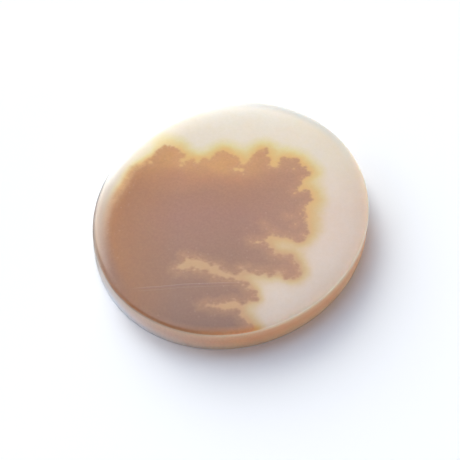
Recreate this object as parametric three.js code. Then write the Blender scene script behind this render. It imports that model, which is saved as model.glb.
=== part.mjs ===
import * as THREE from 'three';

// A polished tablet of dendritic agate: one oval slice of stone, ground flat below,
// with an upright ground wall and a top that is almost flat and falls away in a soft
// shoulder to a crisp edge line. Millimetres, +Z up; the origin is the middle of the
// flat underside.

// Outline, seen from above
const LENGTH = 40.2;
const WIDTH = 35.6;
const LONG_AXIS_TURN = THREE.MathUtils.degToRad(65.5);
const OUT_OF_ROUND = 0.035;
const OUT_OF_ROUND_SIDES = 3;
const OUT_OF_ROUND_TURN = THREE.MathUtils.degToRad(72);

// Heights and roundings, seen from the side
const THICKNESS = 3.8;
const EDGE_HEIGHT = 3.25;
const FOOT_ROUND = 0.5;
const WALL_SWELL = 0.07;
const EDGE_ROUND = 0.2;

// How far out the top stays flat before its shoulder falls away: a higher power is flatter
const SHOULDER_POWER = 9;

// Fineness of the facets
const STEPS_ROUND = 128;
const STEPS_ARC = 3;
const STEPS_WALL = 3;
const TOP_RINGS = [0.985, 0.965, 0.935, 0.89, 0.83, 0.74, 0.6, 0.3];

// Distance from the middle to the outline in one direction: an oval, a little out of
// round because it was shaped by hand
function outlineRadius(angle) {
  const turned = angle - LONG_AXIS_TURN;
  const a = LENGTH / 2;
  const b = WIDTH / 2;
  const oval = (a * b) / Math.hypot(b * Math.cos(turned), a * Math.sin(turned));
  return oval + OUT_OF_ROUND * Math.cos(OUT_OF_ROUND_SIDES * (angle - OUT_OF_ROUND_TURN));
}

// A ring is how far it lies in from the outline, and how high
function footRings() {
  const rings = [];
  for (let i = 0; i <= STEPS_ARC; i += 1) {
    const angle = (i / STEPS_ARC) * (Math.PI / 2);
    const inset = WALL_SWELL + FOOT_ROUND * (1 - Math.sin(angle));
    rings.push({ inset, height: FOOT_ROUND * (1 - Math.cos(angle)) });
  }
  return rings;
}

// The wall swells a little between its foot and the edge line
function wallRings() {
  const rings = [];
  const low = FOOT_ROUND;
  const high = EDGE_HEIGHT - EDGE_ROUND;
  for (let i = 1; i < STEPS_WALL; i += 1) {
    const share = i / STEPS_WALL;
    const inset = WALL_SWELL * (2 * share - 1) ** 2;
    rings.push({ inset, height: low + share * (high - low) });
  }
  return rings;
}

function edgeRings() {
  const rings = [];
  for (let i = 0; i <= STEPS_ARC; i += 1) {
    const angle = (i / STEPS_ARC) * (Math.PI / 3);
    const inset = WALL_SWELL + EDGE_ROUND * (1 - Math.cos(angle));
    const height = EDGE_HEIGHT - EDGE_ROUND + EDGE_ROUND * Math.sin(angle);
    rings.push({ inset, height });
  }
  return rings;
}

// The top, from the edge line to the middle; reach is the share of the way out
function topRings(edge) {
  const radius = (LENGTH + WIDTH) / 4 - edge.inset;
  const rise = THICKNESS - edge.height;
  return TOP_RINGS.map((reach) => ({
    inset: edge.inset + radius * (1 - reach),
    height: edge.height + rise * (1 - reach ** SHOULDER_POWER),
  }));
}

function allRings() {
  const edge = edgeRings();
  return [...footRings(), ...wallRings(), ...edge, ...topRings(edge[edge.length - 1])];
}

// Near the outline a ring keeps its inset all the way round, and towards the middle it
// keeps the outline's proportions instead, so that it stays a smaller oval
function ringPoint(ring, angle) {
  const meanRadius = (LENGTH + WIDTH) / 4;
  const radius = outlineRadius(angle) * (1 - ring.inset / meanRadius);
  return [radius * Math.cos(angle), radius * Math.sin(angle), ring.height];
}

function tabletGeometry() {
  const rings = allRings();
  const points = [0, 0, 0];
  for (const ring of rings) {
    for (let step = 0; step < STEPS_ROUND; step += 1) {
      points.push(...ringPoint(ring, (step / STEPS_ROUND) * 2 * Math.PI));
    }
  }
  points.push(0, 0, THICKNESS);

  const underside = 0;
  const middle = 1 + rings.length * STEPS_ROUND;
  const corner = (ring, step) => 1 + ring * STEPS_ROUND + (step % STEPS_ROUND);
  const faces = [];
  for (let step = 0; step < STEPS_ROUND; step += 1) {
    faces.push(underside, corner(0, step + 1), corner(0, step));
    for (let ring = 0; ring < rings.length - 1; ring += 1) {
      const here = corner(ring, step);
      const next = corner(ring, step + 1);
      const above = corner(ring + 1, step);
      const aboveNext = corner(ring + 1, step + 1);
      faces.push(here, next, aboveNext, here, aboveNext, above);
    }
    faces.push(middle, corner(rings.length - 1, step), corner(rings.length - 1, step + 1));
  }

  const geometry = new THREE.BufferGeometry();
  geometry.setAttribute('position', new THREE.Float32BufferAttribute(points, 3));
  geometry.setIndex(faces);
  geometry.computeVertexNormals();
  return geometry;
}

// Brown manganese and iron dendrites fill most of the milky stone
const agate = new THREE.MeshStandardMaterial({ color: 0xb08b78, roughness: 0.12, metalness: 0 });

const slice = new THREE.Mesh(tabletGeometry(), agate);
slice.name = 'agate_slice';

const specimen = new THREE.Group();
specimen.add(slice);

export default specimen;
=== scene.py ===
"""A polished tablet of dendritic agate on a pale table, lit softly from behind on the left."""
import math

import bpy
import numpy as np
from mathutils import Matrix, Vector


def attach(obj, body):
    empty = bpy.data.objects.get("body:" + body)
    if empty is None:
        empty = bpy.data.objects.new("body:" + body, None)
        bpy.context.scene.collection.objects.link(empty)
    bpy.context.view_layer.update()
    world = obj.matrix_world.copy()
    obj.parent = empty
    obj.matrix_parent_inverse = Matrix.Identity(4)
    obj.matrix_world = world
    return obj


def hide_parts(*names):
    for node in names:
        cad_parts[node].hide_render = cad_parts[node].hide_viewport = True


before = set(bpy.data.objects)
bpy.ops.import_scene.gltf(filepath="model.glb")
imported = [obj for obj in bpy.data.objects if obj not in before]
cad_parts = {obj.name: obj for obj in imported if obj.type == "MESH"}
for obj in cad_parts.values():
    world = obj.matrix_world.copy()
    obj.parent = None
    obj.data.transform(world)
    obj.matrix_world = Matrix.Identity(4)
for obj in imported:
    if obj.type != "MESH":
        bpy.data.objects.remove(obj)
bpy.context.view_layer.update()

MM = 0.001

# The oval outline and the thickness, as the frame has them
LENGTH = 40.2 * MM
WIDTH = 35.6 * MM
LONG_AXIS_TURN = math.radians(65.5)
THICKNESS = 3.8 * MM

# The foot and the wall from the underside up: how far in from the outline, and how high, in mm
FOOT_AND_WALL = [(0.12, 0.0), (0.04, 0.02), (0.02, 0.2), (0.0, 1.3), (0.03, 2.6), (0.05, 3.08)]
# The top is nearly flat in the middle and bends down, more and more, to the rounded edge
EDGE_HEIGHT = 3.27
EDGE_INSET = 0.14
SHOULDER_POWER = 12
SHOULDER_INSETS = [0.3, 0.55, 0.9, 1.3, 1.8, 2.4, 3.2, 4.4]
STEPS_ROUND = 160


def top_height(inset):
    """The height of the top in mm, at a distance in from the outline."""
    share = 1 - inset / (LENGTH / 2 / MM)
    return THICKNESS / MM - (THICKNESS / MM - EDGE_HEIGHT) * share ** SHOULDER_POWER


# The tablet is modelled round, and only then drawn out to its oval
def make_tablet():
    radius = LENGTH / 2 / MM
    profile = FOOT_AND_WALL + [(EDGE_INSET, EDGE_HEIGHT)]
    profile += [(inset, top_height(inset)) for inset in SHOULDER_INSETS]
    bpy.ops.object.select_all(action="DESELECT")
    bpy.ops.mesh.primitive_circle_add(vertices=STEPS_ROUND, radius=(radius - profile[0][0]) * MM)
    tablet = bpy.context.object
    tablet.name = "agate_tablet"
    tablet.data.name = "agate_tablet"

    bpy.ops.object.mode_set(mode="EDIT")
    bpy.ops.mesh.select_mode(type="EDGE")
    bpy.ops.mesh.select_all(action="SELECT")
    for (inset, height), (next_inset, next_height) in zip(profile, profile[1:]):
        rise = (next_height - height) * MM
        share = (radius - next_inset) / (radius - inset)
        bpy.ops.mesh.extrude_region_move(TRANSFORM_OT_translate={"value": (0, 0, rise)})
        bpy.ops.transform.resize(value=(share, share, 1))

    # Top and underside are grids of squares, so that the mesh is even there
    inset, height = profile[-1]
    bpy.ops.mesh.fill_grid(span=STEPS_ROUND // 4)
    raise_middle(tablet, THICKNESS - height * MM, (radius - inset) * MM)
    select_lowest_ring(tablet)
    bpy.ops.mesh.fill_grid(span=STEPS_ROUND // 4)
    bpy.ops.mesh.select_all(action="SELECT")
    bpy.ops.mesh.normals_make_consistent(inside=False)
    bpy.ops.object.mode_set(mode="OBJECT")

    smooth = tablet.modifiers.new("fine_polish", "SUBSURF")
    smooth.levels = 2
    smooth.render_levels = 2
    bpy.ops.object.modifier_apply(modifier="fine_polish")
    bpy.ops.object.shade_smooth()
    bpy.ops.transform.resize(value=(1, WIDTH / LENGTH, 1))
    tablet.rotation_euler.z = LONG_AXIS_TURN
    bpy.ops.object.transform_apply(location=True, rotation=True, scale=True)
    return tablet


def select_nothing(mesh):
    for part in (mesh.vertices, mesh.edges, mesh.polygons):
        part.foreach_set("select", np.zeros(len(part), bool))


def raise_middle(tablet, rise, reach):
    """Lifts the middle of the top and, less and less, what lies round it."""
    bpy.ops.object.mode_set(mode="OBJECT")
    select_nothing(tablet.data)
    top = [v for v in tablet.data.vertices if v.co.z > 0.9 * THICKNESS]
    min(top, key=lambda v: v.co.xy.length).select = True
    bpy.ops.object.mode_set(mode="EDIT")
    bpy.ops.mesh.select_mode(type="VERT")
    bpy.ops.transform.translate(value=(0, 0, rise), use_proportional_edit=True,
                                proportional_edit_falloff="SMOOTH", proportional_size=reach)


def select_lowest_ring(tablet):
    bpy.ops.object.mode_set(mode="OBJECT")
    mesh = tablet.data
    select_nothing(mesh)
    for edge in mesh.edges:
        edge.select = all(mesh.vertices[v].co.z < 0.01 * MM for v in edge.vertices)
    bpy.ops.object.mode_set(mode="EDIT")
    bpy.ops.mesh.select_mode(type="EDGE")


# The outline of the brown spray on the top, clockwise from the left rim, branch by branch.
# Each point is a tip or a notch, in mm from the middle of the stone.
LEFT_FLANK = [(-16.3, 0.0), (-15.8, 1.2), (-15.2, 2.5), (-14.6, 3.5), (-14.1, 4.5), (-13.8, 5.5),
              (-13.3, 6.8)]
LEFT_CROWN = [(-11.9, 7.4), (-11.5, 8.1), (-10.6, 8.8), (-10.3, 9.4), (-9.8, 9.9), (-9.5, 10.6),
              (-9.2, 10.95), (-8.6, 10.7), (-7.7, 10.4), (-7.2, 10.0), (-7.0, 9.5), (-6.45, 9.2),
              (-6.5, 8.8), (-7.3, 8.2), (-6.7, 7.7), (-6.3, 7.6), (-5.7, 8.4), (-5.1, 8.4),
              (-5.0, 7.9), (-4.6, 7.8), (-3.7, 8.4), (-2.3, 8.5)]
SECOND_CROWN = [(-1.9, 9.5), (-1.4, 9.85), (-0.8, 9.8), (-0.4, 9.3), (0.6, 8.9), (0.8, 8.4),
                (1.1, 7.9), (1.1, 7.3), (1.5, 7.2)]
THIRD_CROWN = [(2.1, 7.5), (2.6, 8.3), (3.0, 8.9), (3.2, 9.4), (3.6, 9.9), (4.1, 9.9), (4.45, 10.2),
               (4.8, 9.9), (4.85, 9.3), (4.5, 8.9), (5.0, 8.7), (5.15, 8.0), (4.95, 7.2), (5.2, 6.9),
               (5.8, 6.9), (6.2, 7.1)]
FOURTH_CROWN = [(6.4, 7.6), (6.6, 8.3), (7.0, 8.5), (7.2, 8.9), (7.6, 8.5), (8.2, 8.35),
                (8.9, 8.35), (9.1, 7.8), (9.5, 7.2), (10.0, 6.9), (10.1, 6.4), (10.5, 6.0),
                (10.4, 5.6), (9.5, 5.2), (9.3, 4.5), (9.2, 3.9), (8.8, 3.3), (8.3, 2.9)]
RIGHT_LOBES = [(8.9, 2.7), (10.0, 2.9), (10.5, 2.5), (10.6, 1.1), (9.9, 0.4), (9.5, 0.0),
               (9.4, -0.5), (9.9, -1.3), (9.5, -1.9), (9.5, -2.4), (9.8, -2.9), (9.9, -4.1),
               (9.4, -4.6), (9.3, -5.3), (8.8, -5.6), (8.1, -5.6), (7.9, -5.2), (6.9, -4.9),
               (6.2, -4.9), (5.8, -4.7), (5.3, -3.9), (5.0, -4.3), (4.9, -4.8), (4.1, -5.4),
               (3.2, -5.5), (2.5, -5.6), (3.2, -5.75), (4.1, -5.9)]
LOWER_RIGHT_LOBE = [(4.7, -6.1), (5.0, -6.8), (5.2, -7.4), (6.1, -7.9), (7.5, -7.95), (7.9, -8.5),
                    (8.1, -9.2), (8.4, -9.6), (8.45, -10.3), (8.6, -10.8), (8.2, -11.2),
                    (7.5, -11.55), (6.8, -11.3), (6.5, -10.9), (6.4, -10.4), (5.5, -10.4),
                    (5.3, -10.8), (4.8, -11.1), (4.5, -10.5), (3.9, -10.4), (3.5, -10.8),
                    (3.1, -10.4), (2.2, -10.4), (2.0, -9.9), (1.1, -9.8), (1.05, -10.6),
                    (0.5, -10.8), (-0.2, -10.7), (-1.2, -10.1), (-1.5, -9.6), (-2.7, -9.1)]
UPPER_CHANNEL = [(-3.5, -8.8), (-4.6, -8.3), (-5.5, -8.2), (-6.1, -7.9), (-6.0, -8.8),
                 (-6.8, -9.4), (-7.2, -10.0), (-6.8, -10.3), (-6.0, -10.2), (-4.8, -9.8),
                 (-4.7, -10.2), (-4.2, -9.9), (-3.9, -10.3), (-3.0, -10.3), (-2.3, -11.2)]
LOWER_LOBE = [(-1.6, -11.3), (-0.7, -11.7), (0.2, -11.5), (0.8, -11.9), (1.8, -12.1), (2.1, -12.3),
              (1.5, -12.5), (1.9, -12.9), (2.2, -13.2), (2.9, -13.4), (2.95, -14.0), (3.2, -14.6),
              (3.1, -15.0), (2.6, -14.6), (2.1, -14.7), (1.8, -15.1), (1.2, -15.3), (0.3, -14.8),
              (-0.8, -15.1)]
LOWER_CHANNEL = [(-2.0, -15.4), (-2.6, -15.3), (-3.8, -15.45), (-2.9, -15.8), (-1.2, -16.1),
                 (-0.6, -16.3)]
BOTTOM_LOBE = [(0.3, -16.2), (0.9, -16.1), (1.1, -16.5), (0.9, -16.9), (1.7, -17.6), (1.6, -17.9),
               (2.4, -18.4), (2.7, -19.0)]
PAST_THE_RIM = [(3.0, -20.5), (-8.0, -22.0), (-16.9, -13.0), (-16.6, -9.1), (-16.9, -5.9),
                (-16.8, -2.9)]
BRANCHES = (LEFT_FLANK + LEFT_CROWN + SECOND_CROWN + THIRD_CROWN + FOURTH_CROWN + RIGHT_LOBES
            + LOWER_RIGHT_LOBE + UPPER_CHANNEL + LOWER_LOBE + LOWER_CHANNEL + BOTTOM_LOBE)
SPRAY_OUTLINE = np.array(BRANCHES + PAST_THE_RIM)

# Small windows in the spray, where the stain behind it shows: x, y and radius in mm
WINDOWS = [(0.6, 6.6, 0.35), (1.4, 6.5, 0.35), (1.6, 5.8, 0.1), (-6.8, 7.3, 0.2),
           (-11.0, 7.9, 0.25), (8.4, 6.7, 0.1), (8.4, 2.5, 0.1), (7.3, -1.4, 0.0),
           (7.8, -1.4, 0.02), (9.0, -1.0, 0.05), (8.3, -2.8, 0.02), (4.3, -2.6, 0.05),
           (4.6, -3.3, 0.02), (-3.0, -15.5, 0.15)]

# How far the yellow stain reaches past the spray: x, y and reach in mm
STAIN_REACH = [(-17.0, -4.0, 0.3), (-15.5, 2.5, 0.5), (-14.5, 5.5, 0.8), (-12.5, 8.8, 1.1),
               (-8.5, 11.5, 2.2), (-5.5, 9.3, 1.8), (-1.0, 10.5, 2.0), (4.5, 10.8, 2.0),
               (9.0, 8.5, 1.9), (11.0, 5.0, 2.0), (10.8, -1.0, 2.2), (9.0, -6.0, 1.7),
               (9.0, -11.0, 1.5), (5.0, -11.5, 1.5), (3.3, -14.0, 1.0), (1.5, -17.0, 1.5)]

# The line of a healed crack across the lower left: x and y in mm
CRACK = [(-12.5, -12.9), (-9.0, -12.7), (-6.0, -12.35), (-4.0, -12.25), (1.5, -12.05)]

# The tufts along the spray's border, in mm: their spacing, how far in their middles lie, how much
# these stray and their radius. Small tufts sit on their rims, with a share of that radius. The
# plain border between the tufts is drawn in a little.
TUFT_STEP = 0.42
TUFT_INWARD = 0.12
TUFT_STRAY = 0.05
TUFT_RADIUS = (0.15, 0.36)
SMALL_TUFT_SHARE = (0.4, 0.65)
SPRAY_SHRINK = 0.14

# How far the iron of the stain has spread, how far its border is evened out, and the step and
# the half width of the square field that both are worked out on, in mm
SPREAD = 1.15
EVENED = 0.55
SPREAD_STEP = 0.25
FIELD_HALF = 26


def distance_inside(x, y, outline):
    """How deep each place lies inside a closed line, in mm, and less than 0 outside it."""
    nearest = np.full(len(x), np.inf)
    inside = np.zeros(len(x), bool)
    for (x0, y0), (x1, y1) in zip(outline, np.roll(outline, -1, axis=0)):
        run, rise = x1 - x0, y1 - y0
        along = np.clip(((x - x0) * run + (y - y0) * rise) / (run ** 2 + rise ** 2), 0, 1)
        nearest = np.minimum(nearest, np.hypot(x - x0 - along * run, y - y0 - along * rise))
        if rise:
            inside ^= ((y0 > y) != (y1 > y)) & (x < x0 + (y - y0) / rise * run)
    return np.where(inside, nearest, -nearest)


def tufts_along(line, seed):
    """Round tufts along the spray's border, and smaller ones on their rims: x, y and radius."""
    rng = np.random.default_rng(seed)
    tufts = []
    for start, end in zip(line, line[1:]):
        length = np.hypot(*(end - start))
        along = (end - start) / length
        inward = np.array([along[1], -along[0]])
        for place in np.arange(rng.random() * TUFT_STEP, length, TUFT_STEP):
            centre = start + along * place + inward * TUFT_INWARD + rng.normal(0, TUFT_STRAY, 2)
            radius = rng.uniform(*TUFT_RADIUS)
            tufts.append((*centre, radius))
            for turn in rng.uniform(0, 2 * math.pi, rng.integers(1, 4)):
                rim = centre + 0.8 * radius * np.array([math.cos(turn), math.sin(turn)])
                tufts.append((*rim, radius * rng.uniform(*SMALL_TUFT_SHARE)))
    return tufts


def spray_depth(x, y, inside):
    """How deep each place lies in the spray with its tufts and windows, in mm."""
    depth = inside - SPRAY_SHRINK
    near = np.abs(inside) < 1
    x, y, close = x[near], y[near], depth[near]
    for tuft_x, tuft_y, radius in tufts_along(np.array(BRANCHES), seed=7):
        close = np.maximum(close, radius - np.hypot(x - tuft_x, y - tuft_y))
    depth[near] = close
    return depth


def with_windows(x, y, depth):
    for window_x, window_y, radius in WINDOWS:
        depth = np.minimum(depth, np.hypot(x - window_x, y - window_y) - radius)
    return depth


def stain_reach(x, y):
    """The reach of the stain at each place, between the places where it is known."""
    weights = [1 / ((x - at_x) ** 2 + (y - at_y) ** 2 + 1) ** 2 for at_x, at_y, _ in STAIN_REACH]
    reaches = [reach for _, _, reach in STAIN_REACH]
    return sum(w * r for w, r in zip(weights, reaches)) / sum(weights)


def spread_out(field, reach):
    """A square field of values with each one spread over its neighbours, as far as a reach in mm."""
    offsets = np.arange(-3 * reach, 3 * reach + SPREAD_STEP / 2, SPREAD_STEP)
    weights = np.exp(-0.5 * (offsets / reach) ** 2)
    for axis in (0, 1):
        field = np.apply_along_axis(np.convolve, axis, field, weights / weights.sum(), mode="same")
    return field


def read_field(field, x, y):
    """The values of a field at places between its steps."""
    column, row = (x + FIELD_HALF) / SPREAD_STEP, (y + FIELD_HALF) / SPREAD_STEP
    left, low = column.astype(int), row.astype(int)
    across, up = column - left, row - low
    below = field[low, left] * (1 - across) + field[low, left + 1] * across
    above = field[low + 1, left] * (1 - across) + field[low + 1, left + 1] * across
    return below * (1 - up) + above * up


def stain_distance(x, y):
    """How far out in the stain each place lies: 0 at the spray, about 1 where the stain ends.

    The iron spreads evenly, so small tufts leave no mark and it fills the notches.
    """
    steps = np.arange(-FIELD_HALF, FIELD_HALF, SPREAD_STEP)
    grid_x, grid_y = np.meshgrid(steps, steps)
    inside = distance_inside(grid_x.ravel(), grid_y.ravel(), SPRAY_OUTLINE).reshape(grid_x.shape)
    even = read_field(spread_out(inside, EVENED), x, y)
    share = read_field(spread_out(inside > 0, SPREAD), x, y)
    return np.minimum(-even / stain_reach(x, y), (0.5 - share) / 0.4)


def distance_from_rim(x, y):
    """How far in from the oval outline each place lies, in mm."""
    along = x * math.cos(LONG_AXIS_TURN) + y * math.sin(LONG_AXIS_TURN)
    across = y * math.cos(LONG_AXIS_TURN) - x * math.sin(LONG_AXIS_TURN)
    share = np.hypot(along / (LENGTH / 2 / MM), across / (WIDTH / 2 / MM))
    return np.hypot(x, y) * (1 / np.maximum(share, 0.001) - 1)


def map_markings(tablet):
    """Keeps on each point of the mesh how it lies to the rim, the spray, its stain and the crack."""
    mesh = tablet.data
    places = np.empty(len(mesh.vertices) * 3, np.float32)
    mesh.vertices.foreach_get("co", places)
    x, y, _ = places.reshape(-1, 3).T / MM
    inside = distance_inside(x, y, SPRAY_OUTLINE)
    crack_x, crack_y = zip(*CRACK)
    markings = {"spray_depth": with_windows(x, y, spray_depth(x, y, inside)),
                "stain": stain_distance(x, y),
                "from_rim": distance_from_rim(x, y),
                "above_crack": y - np.interp(x, crack_x, crack_y)}
    for name, values in markings.items():
        kept = mesh.attributes.new(name, "FLOAT", "POINT")
        kept.data.foreach_set("value", values.astype(np.float32))


tablet = make_tablet()
map_markings(tablet)


# Materials
def linear(hex_colour):
    """An sRGB hex colour as the linear values that shaders work in."""
    parts = [int(hex_colour[i:i + 2], 16) / 255 for i in (0, 2, 4)]
    return [c / 12.92 if c <= 0.04045 else ((c + 0.055) / 1.055) ** 2.4 for c in parts] + [1.0]


def add(tree, kind, inputs=None, stops=(), **settings):
    """Adds a node: inputs maps a socket to a value or an output, stops are a ramp's colours.

    In a map range, 1 and 2 are the values where the change starts and ends, and 3 and 4 what they
    become, 0 and 1 if not given. In a colour mix, 0 is the share of the second of its two colours.
    """
    made = tree.nodes.new(kind)
    for name, value in settings.items():
        setattr(made, name, value)
    for socket, value in (inputs or {}).items():
        if isinstance(value, bpy.types.NodeSocket):
            tree.links.new(value, made.inputs[socket])
        else:
            made.inputs[socket].default_value = value
    for number, (place, hex_colour) in enumerate(stops):
        elements = made.color_ramp.elements
        stop = elements[number] if number < len(elements) else elements.new(place)
        stop.position = place
        stop.color = linear(hex_colour)
    return made


def new_material(name):
    material = bpy.data.materials.new(name)
    material.use_nodes = True
    return material, material.node_tree, material.node_tree.nodes["Principled BSDF"]


# Agate sawn to a slice, its top ground and polished bright, its wall only sanded: the light goes
# in and comes out milky, and the top mirrors the pale room. The manganese spray and its rusty
# stain are colour on the top here, though in the real stone they lie a little below it.
agate, tree, shader = new_material("polished_dendritic_agate")
object_place = add(tree, "ShaderNodeTexCoord").outputs["Object"]
in_mm = add(tree, "ShaderNodeMapping", {"Vector": object_place, "Scale": (1000, 1000, 1000)}).outputs[0]
axes = add(tree, "ShaderNodeSeparateXYZ", {0: in_mm}).outputs
depth = add(tree, "ShaderNodeAttribute", attribute_name="spray_depth").outputs["Fac"]
stain = add(tree, "ShaderNodeAttribute", attribute_name="stain").outputs["Fac"]
above_crack = add(tree, "ShaderNodeAttribute", attribute_name="above_crack").outputs["Fac"]
from_rim = add(tree, "ShaderNodeAttribute", attribute_name="from_rim").outputs["Fac"]

# Grain of 0.3 mm, fraying of 0.7 mm, mottles of 0.9 mm and clouds of 4 mm
GRAIN_MM, FRAY_MM, MOTTLE_MM, CLOUD_MM = 0.3, 0.7, 0.9, 4.0
grain, fray, mottle, cloud = [
    add(tree, "ShaderNodeTexNoise", {"Vector": in_mm, "Scale": 1 / size, "Detail": detail}).outputs[0]
    for size, detail in ((GRAIN_MM, 1.0), (FRAY_MM, 2.0), (MOTTLE_MM, 3.0), (CLOUD_MM, 2.0))]

# The stone is lighter towards the back, partly its own milkier tone and partly painted light, as the
# light comes from behind: 0 at the front of the oval, 1 at the back
drift = add(tree, "ShaderNodeMath", {0: cloud, 1: 4.0, 2: -2.0}, operation="MULTIPLY_ADD").outputs[0]
drift = add(tree, "ShaderNodeMath", {0: axes["Y"], 1: drift}).outputs[0]
back_and_lit_share = add(tree, "ShaderNodeMapRange", {0: drift, 1: -18.0, 2: 18.0}).outputs[0]
clear = add(tree, "ShaderNodeValToRGB", {0: back_and_lit_share},
            stops=[(0.0, "d8c9bd"), (0.5, "d8c3b5"), (0.72, "dfd0c2"), (0.9, "e6dacb"),
                   (1.0, "e7e1db")]).outputs[0]

# The stain: rusty next to the spray, yellower further out, then gone in the clear stone
spread = add(tree, "ShaderNodeMath", {0: mottle, 1: 0.3, 2: -0.15}, operation="MULTIPLY_ADD").outputs[0]
spread = add(tree, "ShaderNodeMath", {0: spread, 1: stain}).outputs[0]
in_stain = add(tree, "ShaderNodeMapRange", {0: spread, 1: 1.6, 2: 0.2},
               interpolation_type="SMOOTHSTEP").outputs[0]
rust = add(tree, "ShaderNodeValToRGB", {0: back_and_lit_share},
           stops=[(0.0, "c79c6b"), (0.25, "c49b6a"), (0.45, "d3a768"), (0.75, "daae66")]).outputs[0]
yellow = add(tree, "ShaderNodeValToRGB", {0: back_and_lit_share},
             stops=[(0.0, "c9ac78"), (0.45, "d0b072"), (0.75, "dac880")]).outputs[0]
outward = add(tree, "ShaderNodeMapRange", {0: spread, 1: 0.1, 2: 0.65}).outputs[0]
stain_colour = add(tree, "ShaderNodeMix", {0: outward, 6: rust, 7: yellow}, data_type="RGBA").outputs[2]

# Behind the left crown the stain is paler
pale_left = add(tree, "ShaderNodeMapRange", {0: axes["X"], 1: -6.0, 2: -8.5, 4: 0.45}).outputs[0]
pale_back = add(tree, "ShaderNodeMapRange", {0: axes["Y"], 1: 8.5, 2: 11.0}).outputs[0]
paler = add(tree, "ShaderNodeMath", {0: pale_left, 1: pale_back}, operation="MULTIPLY").outputs[0]
stain_colour = add(tree, "ShaderNodeMix", {0: paler, 6: stain_colour, 7: linear("eedfae")},
                   data_type="RGBA").outputs[2]

# The spray: orange brown in its crowns at the back and greyer in front, which partly is painted light
# falling off from behind, lighter along its border, and with a blurred border on the left
frayed = add(tree, "ShaderNodeMath", {0: fray, 1: 0.5, 2: -0.25}, operation="MULTIPLY_ADD").outputs[0]
frayed = add(tree, "ShaderNodeMath", {0: frayed, 1: depth}).outputs[0]
crisp = add(tree, "ShaderNodeMapRange", {0: axes["X"], 1: -9.0, 2: -13.0, 3: 1.0, 4: 0.25}).outputs[0]
frayed = add(tree, "ShaderNodeMath", {0: frayed, 1: crisp}, operation="MULTIPLY").outputs[0]
in_spray = add(tree, "ShaderNodeMapRange", {0: frayed, 1: -0.2, 2: 0.2},
               interpolation_type="SMOOTHSTEP").outputs[0]
brown = add(tree, "ShaderNodeValToRGB", {0: back_and_lit_share},
            stops=[(0.0, "946b4f"), (0.25, "9b7050"), (0.47, "a47255"), (0.56, "a87551"),
                   (0.64, "b77f52"), (0.72, "cc9656")]).outputs[0]
right_share = add(tree, "ShaderNodeMapRange", {0: axes["X"], 1: 1.0, 2: 8.0, 4: 0.7}).outputs[0]
brown = add(tree, "ShaderNodeMix", {0: right_share, 6: brown, 7: linear("ad7e5c")},
            data_type="RGBA").outputs[2]
left_share = add(tree, "ShaderNodeMapRange", {0: axes["X"], 1: -7.0, 2: -16.0}).outputs[0]
brown = add(tree, "ShaderNodeMix", {0: left_share, 6: brown, 7: linear("a96e2e")},
            data_type="RGBA").outputs[2]
bordering = add(tree, "ShaderNodeMath", {0: mottle, 1: 1.2, 2: -0.6}, operation="MULTIPLY_ADD").outputs[0]
bordering = add(tree, "ShaderNodeMath", {0: bordering, 1: depth}).outputs[0]
bordering = add(tree, "ShaderNodeMapRange", {0: bordering, 1: 1.2, 2: 0.0, 4: 0.4}).outputs[0]
brown = add(tree, "ShaderNodeMix", {0: bordering, 6: brown, 7: linear("c69160")},
            data_type="RGBA").outputs[2]
# Near the front rim, where the top bends down away from the light, the spray is painted lighter: painted
# light against that shade
in_front = add(tree, "ShaderNodeMapRange", {0: axes["Y"], 1: -8.0, 2: -15.0}).outputs[0]
at_rim = add(tree, "ShaderNodeMapRange", {0: from_rim, 1: 1.2, 2: 0.2}).outputs[0]
front_rim_painted_light = add(tree, "ShaderNodeMath", {0: in_front, 1: at_rim}, operation="MULTIPLY").outputs[0]
not_left = add(tree, "ShaderNodeMapRange", {0: axes["X"], 1: -12.0, 2: -1.0, 4: 0.8}).outputs[0]
front_rim_painted_light = add(tree, "ShaderNodeMath", {0: front_rim_painted_light, 1: not_left}, operation="MULTIPLY").outputs[0]
brown = add(tree, "ShaderNodeMix", {0: front_rim_painted_light, 6: brown, 7: linear("d09a72")},
            data_type="RGBA").outputs[2]

# Specks of 0.2 mm where the spray is thin, one in every few cells of 0.5 mm
SPECK_CELL_MM, SPECK_MM = 0.5, 0.2
specks = add(tree, "ShaderNodeTexVoronoi", {"Vector": in_mm, "Scale": 1 / SPECK_CELL_MM}).outputs
speck = add(tree, "ShaderNodeMapRange", {0: specks["Distance"], 1: SPECK_MM / SPECK_CELL_MM, 2: 0.15},
            interpolation_type="SMOOTHSTEP").outputs[0]
chosen = add(tree, "ShaderNodeSeparateXYZ", {0: specks["Color"]}).outputs["X"]
chosen = add(tree, "ShaderNodeMapRange", {0: chosen, 1: 0.75, 2: 1.0}).outputs[0]
thin = add(tree, "ShaderNodeMapRange", {0: depth, 1: 3.5, 2: 0.8, 3: 0.04, 4: 0.16}).outputs[0]
speck = add(tree, "ShaderNodeMath", {0: speck, 1: chosen}, operation="MULTIPLY").outputs[0]
speck = add(tree, "ShaderNodeMath", {0: speck, 1: thin}, operation="MULTIPLY").outputs[0]
brown = add(tree, "ShaderNodeMix", {0: speck, 6: brown, 7: linear("dcaa8a")}, data_type="RGBA").outputs[2]

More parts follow.
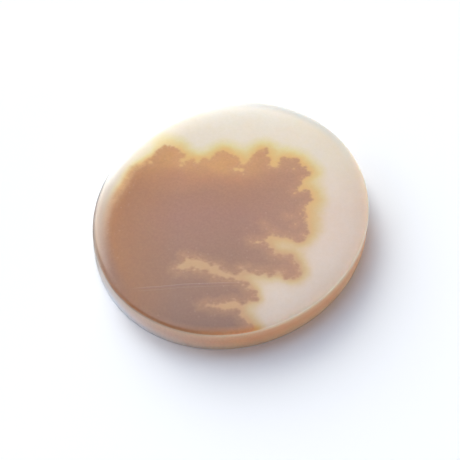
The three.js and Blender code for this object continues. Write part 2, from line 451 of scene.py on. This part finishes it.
# The wall, by its height, with light painted in: grey white on the left as a painted reflection of the
# pale table, a warm painted glow on the right where light through the stone comes out, paler high up in
# front as a painted highlight on the edge, lighter at the foot against the shade of the contact, a band
# of painted shade just under the edge on the left, and paler at the back. The markings are only on the
# top. Both heights are in mm.
WALL_END, TOP_START = 3.14, 3.22
at_top = add(tree, "ShaderNodeMapRange", {0: axes["Z"], 1: WALL_END, 2: TOP_START}).outputs[0]
height = add(tree, "ShaderNodeMapRange", {0: axes["Z"], 1: 0.0, 2: 3.3}).outputs[0]
left_wall_painted_light = add(tree, "ShaderNodeValToRGB", {0: height},
                stops=[(0.0, "e6e4e6"), (0.25, "d2cdce"), (0.55, "c2b6b0"), (0.85, "b8a89a"),
                       (0.93, "74543f")]).outputs[0]
right_wall_painted_glow = add(tree, "ShaderNodeValToRGB", {0: height},
                 stops=[(0.0, "ffd2b2"), (0.2, "eeb68e"), (0.55, "dea780"), (0.82, "dcb28e"),
                        (0.95, "dec8b0")]).outputs[0]
pale_wall_painted_light = add(tree, "ShaderNodeMapRange", {0: axes["Y"], 1: -13.0, 2: -3.0}).outputs[0]
high_up = add(tree, "ShaderNodeMapRange", {0: height, 1: 0.7, 2: 0.9}).outputs[0]
pale_wall_painted_light = add(tree, "ShaderNodeMath", {0: pale_wall_painted_light, 1: high_up}, operation="MULTIPLY").outputs[0]
behind = add(tree, "ShaderNodeMapRange", {0: axes["Y"], 1: -3.0, 2: 4.0}).outputs[0]
pale_wall_painted_light = add(tree, "ShaderNodeMath", {0: pale_wall_painted_light, 1: behind}, operation="MAXIMUM").outputs[0]
# How far round from the right, by the front or the back: 180 degrees is the left
facing = add(tree, "ShaderNodeMath", {0: axes["Y"], 1: axes["X"]}, operation="ARCTAN2").outputs[0]
facing = add(tree, "ShaderNodeMath", {0: facing}, operation="ABSOLUTE").outputs[0]
facing = add(tree, "ShaderNodeMath", {0: facing}, operation="DEGREES").outputs[0]
rightward = add(tree, "ShaderNodeMapRange", {0: facing, 1: 140.0, 2: 88.0}).outputs[0]
wall_with_painted_light = add(tree, "ShaderNodeMix", {0: rightward, 6: left_wall_painted_light, 7: right_wall_painted_glow},
           data_type="RGBA").outputs[2]
wall_with_painted_light = add(tree, "ShaderNodeMix", {0: pale_wall_painted_light, 6: wall_with_painted_light, 7: linear("dcd0c6")},
           data_type="RGBA").outputs[2]
# Round the left back the wall is painted dark grey, painted shade along the outline
outline_painted_shade = add(tree, "ShaderNodeMapRange", {0: facing, 1: 140.0, 2: 160.0}).outputs[0]
wall_with_painted_light = add(tree, "ShaderNodeMix", {0: outline_painted_shade, 6: wall_with_painted_light, 7: linear("8a827b")},
           data_type="RGBA").outputs[2]

# The top: clear stone, over it the stain, and over both the spray
stained = add(tree, "ShaderNodeMix", {0: in_stain, 6: clear, 7: stain_colour},
              data_type="RGBA").outputs[2]
marked = add(tree, "ShaderNodeMix", {0: in_spray, 6: stained, 7: brown}, data_type="RGBA").outputs[2]

# Along the left rim the spray thins out into a tan veil
leftmost = add(tree, "ShaderNodeMapRange", {0: axes["X"], 1: -12.0, 2: -15.0, 4: 0.85}).outputs[0]
veil = add(tree, "ShaderNodeMapRange", {0: from_rim, 1: 2.8, 2: 1.0},
           interpolation_type="SMOOTHSTEP").outputs[0]
veil = add(tree, "ShaderNodeMath", {0: veil, 1: leftmost}, operation="MULTIPLY").outputs[0]
tan = add(tree, "ShaderNodeMapRange", {0: axes["Y"], 1: -10.0, 2: 10.0}).outputs[0]
tan = add(tree, "ShaderNodeValToRGB", {0: tan},
          stops=[(0.0, "94694a"), (0.5, "977a65"), (0.68, "a2907d"), (1.0, "cec4b4")]).outputs[0]
marked = add(tree, "ShaderNodeMix", {0: veil, 6: marked, 7: tan}, data_type="RGBA").outputs[2]

# A thin dark line of painted shade follows the edge on the left, where the rim is seen edge on, brown in
# front and grey further back
painted_edge_shade = add(tree, "ShaderNodeMapRange", {0: from_rim, 1: 0.5, 2: 0.22}).outputs[0]
for place, gone, full in ((axes["X"], -9.0, -14.5), (axes["Y"], 12.5, 8.5), (axes["Y"], -12.5, -4.0)):
    there = add(tree, "ShaderNodeMapRange", {0: place, 1: gone, 2: full}).outputs[0]
    painted_edge_shade = add(tree, "ShaderNodeMath", {0: painted_edge_shade, 1: there}, operation="MULTIPLY").outputs[0]
edge_shade_tone = add(tree, "ShaderNodeMapRange", {0: axes["Y"], 1: 0.0, 2: 5.0}).outputs[0]
edge_shade_tone = add(tree, "ShaderNodeValToRGB", {0: edge_shade_tone},
                stops=[(0.0, "76665a"), (0.6, "4a4541"), (1.0, "383634")]).outputs[0]
marked = add(tree, "ShaderNodeMix", {0: painted_edge_shade, 6: marked, 7: edge_shade_tone}, data_type="RGBA").outputs[2]

# Along the back rim, where the stone is thin, light shining through from behind is painted in: white on
# the left, and greyer on the right, away from the light
back_rim_painted_glow = add(tree, "ShaderNodeMapRange", {0: from_rim, 1: 2.0, 2: 0.5},
              interpolation_type="SMOOTHSTEP").outputs[0]
for place, gone, full in ((facing, 20.0, 45.0), (facing, 176.0, 148.0), (axes["Y"], 0.0, 8.0)):
    there = add(tree, "ShaderNodeMapRange", {0: place, 1: gone, 2: full}).outputs[0]
    back_rim_painted_glow = add(tree, "ShaderNodeMath", {0: back_rim_painted_glow, 1: there}, operation="MULTIPLY").outputs[0]
back_rim_glow_tone = add(tree, "ShaderNodeMapRange", {0: facing, 2: 180.0}).outputs[0]
back_rim_glow_tone = add(tree, "ShaderNodeValToRGB", {0: back_rim_glow_tone},
           stops=[(0.25, "dbd7cd"), (0.33, "cecbc4"), (0.42, "bdbab4"), (0.5, "cdcac5"), (0.6, "dedcd8"),
                  (0.68, "ebebe9"), (0.8, "deddda")]).outputs[0]
marked = add(tree, "ShaderNodeMix", {0: back_rim_painted_glow, 6: marked, 7: back_rim_glow_tone}, data_type="RGBA").outputs[2]

# In the lee of the light, towards the right front, the light that comes out of the stone through the rim
# is painted
# into the colour. It is lighter by a share that is largest at the rim, and that shrinks to a part for
# each mm inward.
RIM_LIFT = 0.55
KEPT_PER_MM = 0.26
LEE_SLOPE = -0.58
lee = add(tree, "ShaderNodeMath", {0: axes["Y"], 1: LEE_SLOPE, 2: axes["X"]},
          operation="MULTIPLY_ADD").outputs[0]
lee = add(tree, "ShaderNodeMapRange", {0: lee, 1: 6.0, 2: 15.0, 4: RIM_LIFT}).outputs[0]
painted_lift = add(tree, "ShaderNodeMath", {0: KEPT_PER_MM, 1: from_rim}, operation="POWER").outputs[0]
painted_lift = add(tree, "ShaderNodeMath", {0: painted_lift, 1: lee, 2: 1.0}, operation="MULTIPLY_ADD").outputs[0]
marked = add(tree, "ShaderNodeVectorMath", {0: marked, 3: painted_lift}, operation="SCALE").outputs[0]
colour = add(tree, "ShaderNodeMix", {0: at_top, 6: wall_with_painted_light, 7: marked}, data_type="RGBA").outputs[2]

# Seen from below, the markings are faint under the milky stone
MILK_OVER_MARKINGS = 0.65
underneath = add(tree, "ShaderNodeMapRange", {0: axes["Z"], 1: 0.015, 2: 0.002}).outputs[0]
below = add(tree, "ShaderNodeMix", {0: MILK_OVER_MARKINGS, 6: marked, 7: linear("d2c4b6")},
            data_type="RGBA").outputs[2]
colour = add(tree, "ShaderNodeMix", {0: underneath, 6: colour, 7: below},
             data_type="RGBA").outputs[2]

# The grain lightens and darkens the colour a little, and more so in the spray
uneven = add(tree, "ShaderNodeMapRange", {0: grain, 1: 0.3, 2: 0.7, 3: -1.0, 4: 1.0}).outputs[0]
coarse = add(tree, "ShaderNodeMapRange", {0: in_spray, 3: 0.014, 4: 0.045}).outputs[0]
shade = add(tree, "ShaderNodeMath", {0: uneven, 1: coarse, 2: 1.0}, operation="MULTIPLY_ADD").outputs[0]
colour = add(tree, "ShaderNodeVectorMath", {0: colour, 3: shade}, operation="SCALE").outputs[0]

# The healed crack: light lines, one over the other, with a dark one between, fading at both ends
started = add(tree, "ShaderNodeMapRange", {0: axes["X"], 1: -13.0, 2: -10.5}).outputs[0]
ended = add(tree, "ShaderNodeMapRange", {0: axes["X"], 1: 2.0, 2: -1.0}).outputs[0]
crack = add(tree, "ShaderNodeMath", {0: started, 1: ended}, operation="MULTIPLY").outputs[0]
for at, half_width, strength, tone in ((0.0, 0.1, 0.14, "d9b8a6"), (-0.2, 0.14, 0.24, "8c675c"),
                                       (-0.48, 0.09, 0.07, "d9b8a6")):
    off = add(tree, "ShaderNodeMath", {0: above_crack, 1: at}, operation="SUBTRACT").outputs[0]
    off = add(tree, "ShaderNodeMath", {0: off}, operation="ABSOLUTE").outputs[0]
    line = add(tree, "ShaderNodeMapRange", {0: off, 1: half_width, 2: 0.02, 4: strength}).outputs[0]
    line = add(tree, "ShaderNodeMath", {0: line, 1: crack}, operation="MULTIPLY").outputs[0]
    line = add(tree, "ShaderNodeMath", {0: line, 1: at_top}, operation="MULTIPLY").outputs[0]
    colour = add(tree, "ShaderNodeMix", {0: line, 6: colour, 7: linear(tone)},
                 data_type="RGBA").outputs[2]
tree.links.new(colour, shader.inputs["Base Color"])

# The sanded wall lets light through from further off than the top does, and the painted dark edge shade
# is as dull as the wall
SANDED_ROUGHNESS, POLISHED_ROUGHNESS = 0.6, 0.06
SANDED_REACH, POLISHED_REACH = 2.5 * MM, 0.5 * MM
AGATE_IOR = 1.54
polished = add(tree, "ShaderNodeMath", {0: at_top, 1: painted_edge_shade}, operation="SUBTRACT").outputs[0]
satin = add(tree, "ShaderNodeMapRange", {0: polished, 3: SANDED_ROUGHNESS,
                                         4: POLISHED_ROUGHNESS}).outputs[0]
tree.links.new(satin, shader.inputs["Roughness"])
light_reach = add(tree, "ShaderNodeMapRange", {0: at_top, 3: SANDED_REACH,
                                               4: POLISHED_REACH}).outputs[0]
tree.links.new(light_reach, shader.inputs["Subsurface Scale"])
shader.inputs["IOR"].default_value = AGATE_IOR
shader.inputs["Subsurface Weight"].default_value = 1.0
shader.inputs["Subsurface Radius"].default_value = (1.5, 1.2, 1.0)
tablet.data.materials.append(agate)
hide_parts("agate_slice")
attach(tablet, "root")


# The table is a sheet of matt white board, a bright plain ground that takes soft shadows and
# does not gleam
paper, tree, shader = new_material("matt_white_board")
shader.inputs["Base Color"].default_value = linear("fafafa")
shader.inputs["Roughness"].default_value = 0.9
bpy.ops.object.select_all(action="DESELECT")
bpy.ops.mesh.primitive_plane_add(size=6)
table_top = bpy.context.object
table_top.name = "table_top"
table_top.data.materials.append(paper)

# The studio is all in the world: a pale room with soft patches of light in it. Azimuths are in
# degrees to the left of straight behind the stone, and elevations in degrees over the table.
world = bpy.data.worlds.new("pale_studio")
bpy.context.scene.world = world
world.use_nodes = True
sky = world.node_tree
direction = add(sky, "ShaderNodeTexCoord").outputs["Generated"]
aim = add(sky, "ShaderNodeSeparateXYZ", {0: direction}).outputs
leftward = add(sky, "ShaderNodeMath", {0: aim["X"], 1: -1.0}, operation="MULTIPLY").outputs[0]
azimuth = add(sky, "ShaderNodeMath", {0: leftward, 1: aim["Y"]}, operation="ARCTAN2").outputs[0]
azimuth = add(sky, "ShaderNodeMath", {0: azimuth}, operation="DEGREES").outputs[0]
elevation = add(sky, "ShaderNodeMath", {0: aim["Z"]}, operation="ARCSINE").outputs[0]
elevation = add(sky, "ShaderNodeMath", {0: elevation}, operation="DEGREES").outputs[0]
ROOM_COLOUR, ROOM_STRENGTH = (0.98, 0.88, 0.92, 1.0), 0.1
light = add(sky, "ShaderNodeBackground", {0: ROOM_COLOUR, 1: ROOM_STRENGTH}).outputs[0]


def light_patch(azimuths, elevations, radiance, tint, slant=0.0):
    """A patch of light, full between the two middle values and gone past the outer two.

    Its elevations rise by the slant for each degree leftward.
    """
    lowered = add(sky, "ShaderNodeMath", {0: azimuth, 1: -slant, 2: elevation},
                  operation="MULTIPLY_ADD").outputs[0]
    strength = radiance
    for place, (start, full, full_end, end) in ((azimuth, azimuths), (lowered, elevations)):
        for gone, kept in ((start, full), (end, full_end)):
            fade = add(sky, "ShaderNodeMapRange", {0: place, 1: gone, 2: kept}).outputs[0]
            strength = add(sky, "ShaderNodeMath", {0: fade, 1: strength}, operation="MULTIPLY").outputs[0]
    return add(sky, "ShaderNodeBackground", {0: (*tint, 1.0), 1: strength}).outputs[0]


window = light_patch(azimuths=(-20, 20, 40, 47), elevations=(-50, -40, 22, 45.5), radiance=9.7,
                     tint=(1.0, 1.0, 0.95), slant=0.3)
back_wall = light_patch(azimuths=(-60, -20, 60, 90), elevations=(36, 52, 74, 88), radiance=1.9,
                        tint=(0.88, 0.98, 1.18))
side = light_patch(azimuths=(44, 52, 78, 90), elevations=(-10, 0, 20, 44), radiance=4.2,
                   tint=(0.93, 1.0, 1.05))
left = light_patch(azimuths=(86, 94, 125, 145), elevations=(-10, 0, 28, 45), radiance=1.5,
                   tint=(0.86, 0.98, 1.25))
low_right = light_patch(azimuths=(-175, -145, -80, -55), elevations=(-10, -5, 3, 12), radiance=4.8,
                        tint=(1.05, 1.0, 0.92))
for patch in (window, back_wall, side, left, low_right):
    light = add(sky, "ShaderNodeAddShader", {0: light, 1: patch}).outputs[0]
sky.links.new(light, sky.nodes["World Output"].inputs["Surface"])

CAMERA_ELEVATION = math.radians(52)
CAMERA_DISTANCE = 166.2 * MM
LOOKED_AT = Vector((-0.20, -3.34, 3.25)) * MM
camera = bpy.data.cameras.new("camera")
camera.lens = 100
camera.sensor_width = 36
camera.clip_start = 0.01
camera_object = bpy.data.objects.new("camera", camera)
bpy.context.scene.collection.objects.link(camera_object)
back = Vector((0, -math.cos(CAMERA_ELEVATION), math.sin(CAMERA_ELEVATION)))
camera_object.location = LOOKED_AT + back * CAMERA_DISTANCE
camera_object.rotation_euler = back.to_track_quat("Z", "Y").to_euler()
bpy.context.scene.camera = camera_object
bpy.context.scene.view_settings.view_transform = "Standard"
